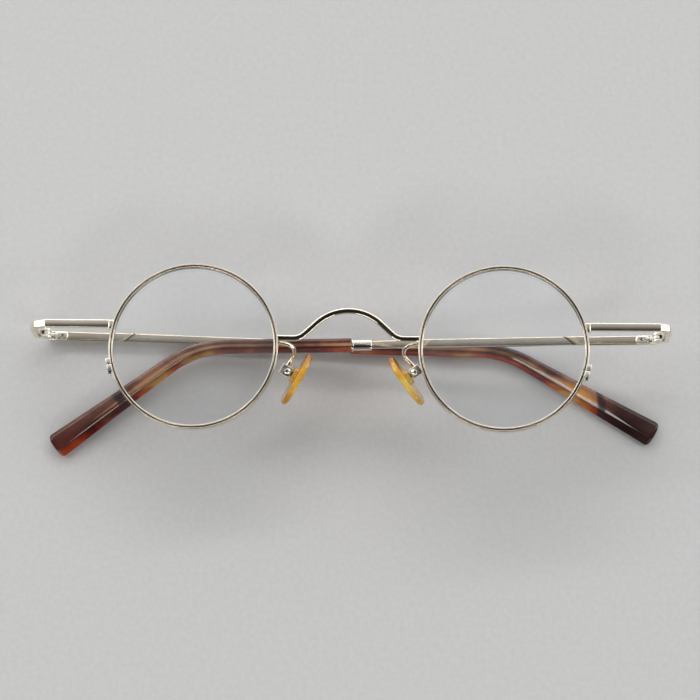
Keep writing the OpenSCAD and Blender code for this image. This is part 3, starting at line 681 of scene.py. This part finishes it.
def lens(side):
    """A curved lens whose bevelled edge sits in the rim's groove."""
    half, land = LENS_T / 2, RIM_IN - LENS_PLAY
    bevel = GROOVE_DEPTH - LENS_PLAY
    edge_r = RIM_IN + GROOVE_DEPTH - LENS_PLAY
    drop = LENS_CURVE_R - math.sqrt(LENS_CURVE_R**2 - land**2)
    radii = [AXIS_R + (land - AXIS_R) * i / LENS_RINGS for i in range(LENS_RINGS + 1)]
    heights = [math.sqrt(LENS_CURVE_R**2 - r * r) - LENS_CURVE_R + drop for r in radii]
    profile = [(r, z + half) for r, z in zip(radii, heights)]
    profile += [(land, bevel), (edge_r, 0), (land, -bevel)]
    profile += [(r, z - half) for r, z in reversed(list(zip(radii, heights)))]
    name = SIDES[side] + "_lens"
    piece(name, revolve(profile, LENS_STEPS), ON_RIM[side], "front", "clear_lens", sharp=25)


def bridge():
    """A soft square bar, rolled a little, bent into an arch and swelling where it is soldered on."""
    slope = math.radians(BRIDGE_SLOPE)
    fall, run = 1 - math.cos(slope), math.sin(slope)
    straight = (BRIDGE_RISE - (BRIDGE_FOOT_R + BRIDGE_TOP_R) * fall) / run
    foot = (BRIDGE_FOOT_R + BRIDGE_TOP_R) * run + straight * math.cos(slope)
    start = (-foot, BRIDGE_Y)
    bend = arc_path(start, 0, BRIDGE_FOOT_R, BRIDGE_SLOPE, BRIDGE_STEPS)
    shoulder = (
        bend[-1][0] + math.cos(slope) * straight,
        bend[-1][1] + math.sin(slope) * straight,
    )
    end_x = -RIM_GAP / 2 - BRIDGE_LAP
    lead = [(end_x + (start[0] - end_x) * k / 6, BRIDGE_Y) for k in range(6)]
    top = arc_path(shoulder, BRIDGE_SLOPE, BRIDGE_TOP_R, -BRIDGE_SLOPE, ARCH_STEPS)
    half = lead + [start] + bend + [shoulder] + top
    path = half + [(-x, y) for x, y in reversed(half[:-1])]
    outlines = []
    for x, _ in path:
        near = max(0.0, 1 - (RIM_GAP / 2 + BRIDGE_LAP / 2 - abs(x)) / SOLDER_RUN)
        swell = 1 + SOLDER_SWELL * near * near
        outline = superellipse(BRIDGE_W * swell, BRIDGE_DEPTH * swell, BRIDGE_POWER, count=44)
        outlines.append(rolled(outline, BRIDGE_ROLL))
    piece("bridge", loft(flat_rings(path, outlines)), FRONT, "front", "frame_metal")


def strip_section():
    """Section of an end piece: its front at -X, a little crowned, and its upper edge at -Y."""
    t, h = END_T / 2, END_H / 2
    corners = [
        ((-t + END_CROWN, -h), 0.3),
        ((-t, 0), 8.0),
        ((-t + END_CROWN, h), 0.2),
        ((t, h), 0.2),
        ((t, -h), 0.2),
    ]
    return soft_outline(corners, steps=6)


def end_piece(side):
    """The strip from the rim round the faceted corner and back to the hinge, with a foot at the rim."""
    foot_x = math.sqrt(RIM_R**2 - END_Y**2)
    corners = [
        (-LENS_X - foot_x + END_LAP, 0),
        (-FRONT_HALF + CORNER_RUN[side] + FACET_RUN[side], 0),
        (-FRONT_HALF + CORNER_RUN[side], -FACET_FALL[side]),
        (-ARM_X, -FACET_FALL[side] - CORNER_FALL),
        (-ARM_X, -PIN_BACK + BUTT_GAP),
    ]
    path = fillet(corners, END_BENDS, steps=6, closed=False)
    rings = flat_rings(path, [strip_section()] * len(path))
    strip = loft([[(x, END_Y - z, y) for x, y, z in ring] for ring in rings])
    left = -LENS_X - foot_x - FOOT_W
    middle = END_Y - FOOT_DROP
    low = (left, middle - FOOT_H / 2, -FOOT_HALF)
    high = (left + FOOT_W + FOOT_LAP, middle + FOOT_H / 2, FOOT_HALF)
    shape = joined(strip, soft_block(low, high, FOOT_SOFT))
    name = SIDES[side] + "_end_piece"
    piece(name, shape, ON_SIDE[side], "front", "frame_metal")


def pad_arm(side):
    """The bent wire from behind the rim into the pad box, swelling at both ends."""
    root = Vector((-LENS_X + RIM_IN + RIM_W / 2, 0, -RIM_DEPTH / 2))
    points = [
        root + Vector((x * ARM_REACH, y * ARM_Y, -z * ARM_FALL)) for x, y, z in ARM_SHAPE
    ]
    bottom, end = (
        PAD_PLACE[side] @ Vector((-ARM_IN, y, 0)) for y in (BOX_L / 2 + ARM_D, BOX_L / 2 - BOX_LAP)
    )
    path = smooth_path(points + [bottom], steps=12)
    path += [bottom.lerp(end, k / 4) for k in range(1, 5)]
    path[0] = path[0] + Vector((0, 0, ARM_LAP))
    widths = []
    for i in range(len(path)):
        near = max(0, 1 - min(i, len(path) - 1 - i) / ARM_SWELL_STEPS)
        widths.append(ARM_D * (1 + ARM_SWELL * near**2))
    name = SIDES[side] + "_pad_arm"
    piece(name, loft(wire_rings(path, widths, count=28)), ON_SIDE[side], "front", "frame_metal")


def nose_pad(side):
    """A pad that is flat behind and domed in front, with its boss. The mark up is 1 at its upper end."""
    rings = []
    for k in range(PAD_RINGS + 1):
        a = math.pi * k / PAD_RINGS
        level = 0.5 - 0.5 * math.cos(a)
        if k > PAD_RINGS / 2:
            share = math.sin(a) ** 0.2
        else:
            share = PAD_BACK_SHARE + (1 - PAD_BACK_SHARE) * math.sin(a) ** 0.4
        share = max(PAD_LEAST, share)
        out = PAD_SEAT + level * PAD_T - PAD_BOW * (1 - share)
        ring = []
        for x, y in superellipse(PAD_L, PAD_W, PAD_POWER, count=72):
            ring.append((out, x * share - PAD_LOW, y * share * (1 - PAD_NARROW * x / PAD_L)))
        rings.append(ring)
    pad = loft(rings)
    levels = [(BOSS_FROM + rise, share) for rise, share in BOSS_START]
    rings = []
    for x, share in levels + [(PAD_SEAT + BOSS_LAP, BOSS_FOOT)]:
        outline = superellipse(BOSS_W, BOSS_L, BOSS_POWER, count=40)
        rings.append([(x, z * share, -y * share) for y, z in outline])
    shape = joined(pad, loft(rings))
    up = [0.5 + (y + PAD_LOW) / PAD_L for _, y, _ in pad[0]]
    name, body = SIDES[side] + "_nose_pad", SIDES[side] + "_pad"
    marks = {"up": padded(up, shape, rest=0.5)}
    piece(name, shape, ON_PAD[side], body, "amber_pad", sharp=50, marks=marks)


# Screws and closing blocks


def screw(name, place, shank_d, length, head_d, head_h):
    """A slotted screw with a domed head: its axis is Z and its middle the middle of its shank."""
    r, half, slot = head_d / 2, length / 2, SCREW_SLOT / 2
    top = half + head_h
    edge = [(-r * math.cos(math.pi / 2 * k / 8), 0) for k in range(8)]
    across = edge + [(-slot, 0), (-slot, SLOT_SINK), (slot, SLOT_SINK), (slot, 0)]
    across += [(-x, 0) for x, _ in reversed(edge)]
    rings = []
    for x, sink in across:
        wide = math.sqrt(max(1e-4, r * r - x * x))
        ring = []
        for k in range(17):
            y = -wide + 2 * wide * k / 16
            fall = (x * x + y * y) / (r * r)
            ring.append((x, y, max(half, top - HEAD_DOME * head_h * fall - sink * head_h)))
        rings.append(ring + [(x, wide, half - 0.01), (x, -wide, half - 0.01)])
    shank = [
        ((AXIS_R, -half), 0),
        ((shank_d / 2, -half), 0.06),
        ((shank_d / 2, half), 0),
        ((AXIS_R, half), 0),
    ]
    shape = joined(loft(rings), revolve(soft_outline(shank, steps=3), steps=40))
    piece(name, shape, place, "front", "screw_steel", sharp=50)


def screws(side):
    pad, hinge = SIDES[side] + "_pad_screw", SIDES[side] + "_hinge_screw"
    screw(pad, ON_PAD[side], PAD_SCREW_D, BOX_W, PAD_HEAD_D, PAD_HEAD_H)
    screw(hinge, AT_PIN[side] @ turn(-90, "X"), PIN_D, HINGE_H, PIN_HEAD_D, PIN_HEAD_H)


def closing_blocks(side):
    """The two blocks on the ends of a rim, with a gap between them."""
    half = RIM_DEPTH / 2 + BLOCK_PROUD
    top = SLIT / 2 + BLOCK_H
    for word, low, high in (("upper", BLOCK_GAP / 2, top), ("lower", -top, -BLOCK_GAP / 2)):
        corners = (RIM_OUT - BLOCK_LAP, low, -half), (RIM_R + BLOCK_OUT, high, half)
        name = f"{SIDES[side]}_closing_block_{word}"
        piece(name, soft_block(*corners, BLOCK_SOFT), ON_BLOCK[side], "front", "hinge_metal")


def closing_screw(side):
    """The screw that joins the blocks: its threaded, rounded end stands out below them."""
    r = CLOSING_D / 2
    top = SLIT / 2 + BLOCK_H
    end = -top - CLOSING_END
    profile = [(AXIS_R, end)] + [(share * r, end + rise) for share, rise in CLOSING_ROUND]
    for k in range(int((CLOSING_END - CLOSING_TIP) / THREAD_PITCH)):
        z = end + CLOSING_TIP + k * THREAD_PITCH
        profile += [(r * THREAD_ROOT, z + THREAD_PITCH * 0.4), (r, z + THREAD_PITCH)]
    head_r, head_top = r + CLOSING_HEAD, top + CLOSING_HEAD_H
    profile += [(r, top), (head_r, top), (head_r, top + CLOSING_HEAD_EDGE)]
    profile += [(0.6 * r, head_top), (AXIS_R, head_top)]
    shape = revolve(profile, steps=40)
    # Painted shade over the threads between the rounded end and the blocks
    hollow_shade = [float(end + CLOSING_TIP < z < -top) for _, _, z in shape[0]]
    place = ON_BLOCK[side] @ move(RIM_R + r + SCREW_PLAY, 0, 0) @ turn(-90, "X")
    name = SIDES[side] + "_closing_screw"
    piece(name, shape, place, "front", "screw_steel", sharp=40, marks={"hollow_shade": hollow_shade})


# The temples


def bend_sizes(side):
    """Where along a temple its bend starts, the bend's length, and where the temple ends."""
    bend = math.radians(BEND[side])
    tangent = BEND_R * math.tan(bend / 2)
    start = BEND_AT - tangent
    length = BEND_R * bend
    return start, length, start + length + HOOK_L - tangent


def temple_point(s, side):
    """The point at a length along a temple, seen square to its bend."""
    start, length, _ = bend_sizes(side)
    slope, bend = math.radians(SLOPE[side]), math.radians(BEND[side])
    from_x, from_y = math.cos(slope) * min(s, start), -math.sin(slope) * min(s, start)
    if s <= start:
        return from_x, from_y
    a = -slope - bend * min(1, (s - start) / length)
    x = from_x - BEND_R * (math.sin(a) + math.sin(slope))
    y = from_y + BEND_R * (math.cos(a) - math.cos(slope))
    rest = max(0, s - start - length)
    return x + math.cos(a) * rest, y + math.sin(a) * rest


def on_slope(side, s, x, z):
    """A point of a temple's straight stretch: s along it, x across it and z out from it."""
    slope = math.radians(SLOPE[side])
    return math.cos(slope) * s + math.sin(slope) * x, -math.sin(slope) * s + math.cos(slope) * x, z


def temple_loft(stations, outlines, side):
    """A skin over outlines at lengths along a temple's path."""
    rings = flat_rings([temple_point(s, side) for s in stations], outlines)
    return loft([[(x, y, z - BAR_MID) for x, y, z in ring] for ring in rings])


def bar_strip(side):
    """The flat bar with its oblique groove, and how much painted shade each of its vertices has."""
    at, run = SCARF_AT[side], 1 / math.tan(math.radians(SCARF_ANGLE))
    stations = [(BUTT_GAP + s, share, 0, 0, 0) for s, share in BAR_START]
    stations += [(k * at / 7, 1, 0, 0, 0) for k in range(1, 6)]
    stations += [(at + k * SCARF_W, 1, run, dip * SCARF_DEPTH, dark) for k, dip, dark in SCARF_GROOVE]
    stations += [(at + (FERRULE_AT - at) * k / 16, 1, 0, 0, 0) for k in range(2, 17)]
    stations.append((FERRULE_END, 1, 0, 0, 0))
    rings, hollow_shade = [], []
    for s, share, skew, dip, dark in stations:
        high = BAR_H + (BAR_END_H - BAR_H) * min(1, s / FERRULE_AT)
        ring = []
        for x, y in rounded_box(high * share, BAR_T * share, BAR_SOFT, steps=5):
            inner = y > INNER_FACE
            sunk = y - dip if inner else y
            ring.append(on_slope(side, s + x * skew, x, sunk - BAR_MID))
            # Painted shade in the groove, on the inner face only
            hollow_shade.append(dark * inner)
        rings.append(ring)
    return loft(rings), hollow_shade


def core_wire(side):
    """The wire inside a tip, which sinks in the bend and comes to a point."""
    start, length, end = bend_sizes(side)
    first, last, hook = FERRULE_END - CORE_SEAT, end - CORE_SHORT, start + length
    stations = [first + (start - first) * k / 8 for k in range(8)]
    stations += [start + length * k / 24 for k in range(25)]
    stations += [hook + (last - hook) * k / 20 for k in range(1, 21)]
    outlines = []
    for s in stations:
        w = CORE_D * min(1, CORE_END + (1 - CORE_END) * (last - s) / CORE_POINT)
        sink = CORE_DROP * max(0, min(1, (s - start) / length))
        outlines.append([(x - sink, y) for x, y in superellipse(w, w, power=2, count=32)])
    return temple_loft(stations, outlines, side)


def temple_bar(side):
    bar, hollow_shade = bar_strip(side)
    shape = joined(bar, core_wire(side))
    name, body = SIDES[side] + "_temple_bar", SIDES[side] + "_temple"
    marks = {"hollow_shade": padded(hollow_shade, shape)}
    piece(name, shape, ON_TEMPLE[side], body, "frame_metal", marks=marks)


def temple_hinge(side):
    """The knuckle, its web, and a domed shield with a rivet set in it."""
    bore, half = PIN_D / 2 + SCREW_PLAY, KNUCKLE_H / 2
    profile = [(bore, -half), (KNUCKLE_R, -half), (KNUCKLE_R, half), (bore, half)]
    verts, faces = revolve(fillet(profile, HINGE_SOFT, steps=4, closed=True), steps=64)
    knuckle = [(x, z, y) for x, y, z in verts], faces
    web_high = (PIN_OFF + LEAF_L / 3, half, -PIN_OFF + LEAF_T)
    web = soft_block((0, -half, -PIN_OFF), web_high, HINGE_SOFT)
    stem = soft_block((STEM_FROM, -half, -PIN_OFF), (PIN_OFF, half, -PIN_D / 2), HINGE_SOFT)
    middle = LEAF_L - SHIELD_R
    rings, hollow_shade = [], []
    for share, rise, dark in SHIELD_DOME:
        ring = []
        for k in range(64):
            a = math.tau * k / 64
            x = middle + SHIELD_R * math.cos(a) * share
            y = max(-SHIELD_H / 2, min(SHIELD_H / 2, SHIELD_R * math.sin(a))) * share
            ring.append(on_slope(side, x, y, -PIN_OFF + rise * LEAF_T))
            # Painted shade in the sunken ring round the rivet
            hollow_shade.append(dark)
        rings.append(ring)
    shape = joined(loft(rings), knuckle, web, stem)
    name, body = SIDES[side] + "_temple_hinge", SIDES[side] + "_temple"
    marks = {"hollow_shade": padded(hollow_shade, shape)}
    piece(name, shape, ON_TEMPLE[side], body, "hinge_metal", marks=marks)


def ferrule(side):
    """A rounded sleeve with a collar at the tip's end. Levels: place, change in size, share of collar."""
    collar_at = FERRULE_L - COLLAR_L
    levels = (
        (0.0, -0.16, 0),
        (0.04, -0.06, 0),
        (0.14, 0.0, 0),
        (collar_at - 0.08, 0.0, 0),
        (collar_at, 0.02, 0.25),
        (collar_at + 0.05, 0.0, 0.9),
        (collar_at + 0.14, 0.0, 1.0),
        (FERRULE_L - 0.12, 0.0, 1.0),
        (FERRULE_L - 0.02, 0.0, 0.75),
        (FERRULE_L, 0.0, 0.45),
    )
    rings = []
    for at, change, share in levels:
        grow = 2 * COLLAR_RISE * share
        outline = superellipse(
            FERRULE_H + change + grow, FERRULE_T + change + grow, FERRULE_POWER, count=64
        )
        rings.append([on_slope(side, FERRULE_AT + at, x, y - BAR_MID) for x, y in outline])
    name, body = SIDES[side] + "_ferrule", SIDES[side] + "_temple"
    piece(name, loft(rings), ON_TEMPLE[side], body, "ferrule_metal")


def tip_section(high, deep, facet):
    """Section of a tip: flat inside, then a narrow facet, then a lower side that falls away."""
    a, b = high / 2, deep / 2
    scale = min(1.0, a / 1.5)
    crease = TIP_CREASE * a
    tilt, side_tilt = math.radians(FACET_TILT), math.radians(SIDE_TILT)
    run, drop = facet * math.cos(tilt) * scale, facet * math.sin(tilt) * scale
    low = max(-0.3 * b, b - drop - math.tan(side_tilt) * (a - crease))
    corners = [
        ((-a, -0.5 * b), 0.6),
        ((-0.62 * a, -b), 0.8),
        ((0.62 * a, -b), 0.8),
        ((a, -0.4 * b), 0.6),
        ((a, 0.4 * b), 0.5),
        ((0.68 * a, b), 0.6),
        ((-crease + run, b), 0.1),
        ((-crease, b - drop), 0.1),
        ((-a, low), 0.35),
    ]
    return soft_outline([(p, r * scale + 0.001) for p, r in corners], steps=6)


def tip_grow(s, end):
    """How far a tip has grown from its first to its last section, from 0 to 1."""
    first = BEND_AT - TIP_GROW_EARLY
    return max(0, min(1, (s - first) / (end - TIP_ROUND - first))) ** TIP_GROW_POWER


def temple_tip(side):
    """The acetate tip, marked along and across for the tortoise pattern."""
    start, length, end = bend_sizes(side)
    hook, round_at = start + length, end - TIP_ROUND
    seated = FERRULE_END + TIP_SEAT
    stations = [FERRULE_END, FERRULE_END + 0.03, FERRULE_END + 0.1, seated]
    stations += [seated + (start - FERRULE_END) * k / 12 for k in range(1, 12)]
    stations += [start + length * k / 28 for k in range(29)]
    stations += [hook + (round_at - hook) * k / 16 for k in range(1, 17)]
    for k in range(1, TIP_ROUND_RINGS + 1):
        a = math.pi / 2 * k / (TIP_ROUND_RINGS + TIP_ROUND_SHORT)
        stations.append(end - TIP_ROUND * (1 - math.sin(a)))
    facet, taper_from, taper_to = TIP_FACET[side]
    outlines, across, along = [], [], []
    for s in stations:
        grow = tip_grow(s, end)
        past = max(0, (s - round_at) / TIP_ROUND)
        close = max(0, 1 - past**TIP_POWER) ** (1 / TIP_POWER)
        seat = min(1, (s - FERRULE_END) / TIP_SEAT)
        lip = 2 * TIP_SEAT * (1 - math.sqrt(1 - (1 - seat) ** 2))
        thick = TIP_T + (TIP_END_T - TIP_T) * grow
        high = (TIP_H + (TIP_END_H - TIP_H) * grow) * close - lip
        deep = (thick + TIP_BULGE) * close**0.6 - lip
        share = (s - FERRULE_END) / (end - FERRULE_END)
        narrow = max(FACET_LEAST, min(1, (taper_to - share) / (taper_to - taper_from)))
        ring = tip_section(high, deep, facet * narrow)
        outlines.append([(x, max(-TIP_T / 2, y - (TIP_T - thick) / 2)) for x, y in ring])
        across += [2 * x / high for x, _ in ring]
        along += [share] * len(ring)
    name, body = SIDES[side] + "_temple_tip", SIDES[side] + "_temple"
    marks = {"across": across, "along": along, "smoke": [float(side < 0)] * len(along)}
    shape = temple_loft(stations, outlines, side)
    piece(name, shape, ON_TEMPLE[side], body, "tortoise_tip", sharp=60, marks=marks)


bridge()
for SIDE in SIDES:
    rim(SIDE)
    lens(SIDE)
    end_piece(SIDE)
    pad_arm(SIDE)
    nose_pad(SIDE)
    temple_bar(SIDE)
    temple_hinge(SIDE)
    screws(SIDE)
    closing_blocks(SIDE)
    closing_screw(SIDE)
    ferrule(SIDE)
    temple_tip(SIDE)

# Small CAD parts that stay, in hinge metal, and the width of their softened edges
KEPT = {"pad_box": 0.2, "pad_tongue": 0.1, "front_hinge": 0.1}
WELD_REACH = 1e-4


def soften(node, width):
    """Gives a CAD part its metal and soft edges, and leaves its mesh as it is."""
    node.data.materials.clear()
    node.data.materials.append(MATERIALS["hinge_metal"])
    weld = node.modifiers.new("weld", "WELD")
    weld.merge_threshold = WELD_REACH * MM
    bevel = node.modifiers.new("bevel", "BEVEL")
    bevel.width = width * MM
    bevel.segments = 3
    bevel.limit_method = "ANGLE"
    bevel.angle_limit = math.radians(SHARP)
    bevel.harden_normals = True


for WORD in SIDES.values():
    for PART, WIDTH in KEPT.items():
        soften(NODES[f"{WORD}_{PART}"], WIDTH)


# The floor, in metres
FLOOR_HALF = 4


def lay_floor():
    mesh = bpy.data.meshes.new("floor")
    corners = [(x * FLOOR_HALF, y * FLOOR_HALF, 0) for x, y in ((-1, -1), (1, -1), (1, 1), (-1, 1))]
    mesh.from_pydata(corners, [], [(0, 1, 2, 3)])
    mesh.materials.append(floor_paper())
    floor = new_object("floor", mesh)
    return floor


def hold_under(floor, side):
    """Keeps the floor below the end of a temple, which reaches down past the front once it is open."""
    x, y = temple_point(bend_sizes(side)[2], side)
    reach = new_object(SIDES[side] + "_reach", None)
    reach.location = ON_TEMPLE[side] @ Vector((x + TIP_END_H / 2, y, -BAR_MID))
    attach(reach, SIDES[side] + "_temple")
    hold = floor.constraints.new("FLOOR")
    hold.target = reach
    hold.floor_location = "FLOOR_NEGATIVE_Z"


FLOOR = lay_floor()
for SIDE in SIDES:
    hold_under(FLOOR, SIDE)

# Soft lights, in metres: name, place, width and height, power and colour
DAYLIGHT = (1.0, 0.99, 0.97)
LIGHTS = (
    ("north", (-0.1, 0.62, 0.50), (1.1, 0.07), 1.7, (1.0, 0.985, 0.96)),
    ("west", (-0.60, 0.10, 0.46), (0.20, 0.5), 0.9, DAYLIGHT),
    ("east", (0.60, 0.10, 0.46), (0.20, 0.5), 0.9, DAYLIGHT),
    ("south_west", (-0.45, -0.62, 0.60), (0.5, 0.13), 1.3, DAYLIGHT),
    ("south_east", (0.45, -0.62, 0.60), (0.5, 0.13), 1.3, DAYLIGHT),
)
LIGHT_TARGET = Vector((0, 0, 0.01))

# Brightness of the sky: by height from the horizon up, and from the south to the north
SKY_RISE = ((0, 0.3), (0.2, 0.88), (0.5, 1.0), (0.8, 0.62), (0.9, 0.33), (1, 0.16))
SKY_NORTH = ((0, 0.15), (0.36, 0.035), (0.5, 0.07), (0.56, 0.35), (0.62, 0.95), (0.7, 1))
SKY_STRENGTH = 1.6


def light(name, place, size, power, color):
    data = bpy.data.lights.new(name, "AREA")
    data.shape = "RECTANGLE"
    data.size, data.size_y = size
    data.energy = power
    data.color = color
    obj = new_object(name, data)
    obj.location = place
    obj.rotation_mode = "QUATERNION"
    obj.rotation_quaternion = (Vector(place) - LIGHT_TARGET).to_track_quat("Z", "Y")


def sky():
    """Soft sky: bright in the north at middle height, dim overhead and dark in the south."""
    world = bpy.data.worlds.new("studio")
    world.use_nodes = True
    tree = world.node_tree
    split = tree.nodes.new("ShaderNodeSeparateXYZ")
    tree.links.new(tree.nodes.new("ShaderNodeTexCoord").outputs["Generated"], split.inputs[0])
    product = tree.nodes.new("ShaderNodeVectorMath")
    product.operation = "MULTIPLY"
    for i, (axis, low, levels) in enumerate((("Z", 0.0, SKY_RISE), ("Y", -1.0, SKY_NORTH))):
        half = tree.nodes.new("ShaderNodeMapRange")
        tree.links.new(split.outputs[axis], half.inputs["Value"])
        half.inputs["From Min"].default_value = low
        shade = tree.nodes.new("ShaderNodeValToRGB")
        tree.links.new(half.outputs[0], shade.inputs["Fac"])
        set_stops(shade, [(at, (level, level, level)) for at, level in levels])
        tree.links.new(shade.outputs["Color"], product.inputs[i])
    background = tree.nodes["Background"].inputs
    tree.links.new(product.outputs[0], background["Color"])
    background["Strength"].default_value = SKY_STRENGTH
    bpy.context.scene.world = world


for LIGHT in LIGHTS:
    light(*LIGHT)
sky()
bpy.context.scene.view_settings.view_transform = "Standard"

# The photograph's camera, fitted to the outlines of rims, tips and bars: its focal length is in pixels of
# the photograph, and its aim is a place of the solids before they were centred on the box
ELEVATION, AZIMUTH, ROLL = 76.611, 4.599, 5.722
DISTANCE, FOCAL, PHOTO_SIZE, SENSOR = 540.0, 2466.2, 700, 36.0
AIM_X, AIM_Y, AIM_Z = 0.449, 0.283, 15.0


def stand_camera():
    el, az, roll = (math.radians(a) for a in (ELEVATION, AZIMUTH, ROLL))
    forward = Vector((math.sin(az) * math.cos(el), math.cos(az) * math.cos(el), -math.sin(el)))
    right = Vector((math.cos(az), -math.sin(az), 0))
    up = right.cross(forward)
    right_turned = right * math.cos(roll) + up * math.sin(roll)
    up_turned = up * math.cos(roll) - right * math.sin(roll)
    data = bpy.data.cameras.new("camera")
    data.sensor_width = SENSOR
    data.lens = FOCAL / PHOTO_SIZE * SENSOR
    data.clip_start, data.clip_end = 0.05, 20.0
    place = Matrix((right_turned, up_turned, -forward)).transposed().to_4x4()
    place.translation = (Vector((AIM_X - X_MID, AIM_Y - Y_MID, AIM_Z)) - forward * DISTANCE) * MM
    camera = new_object("camera", data)
    camera.matrix_world = place
    bpy.context.scene.camera = camera


stand_camera()
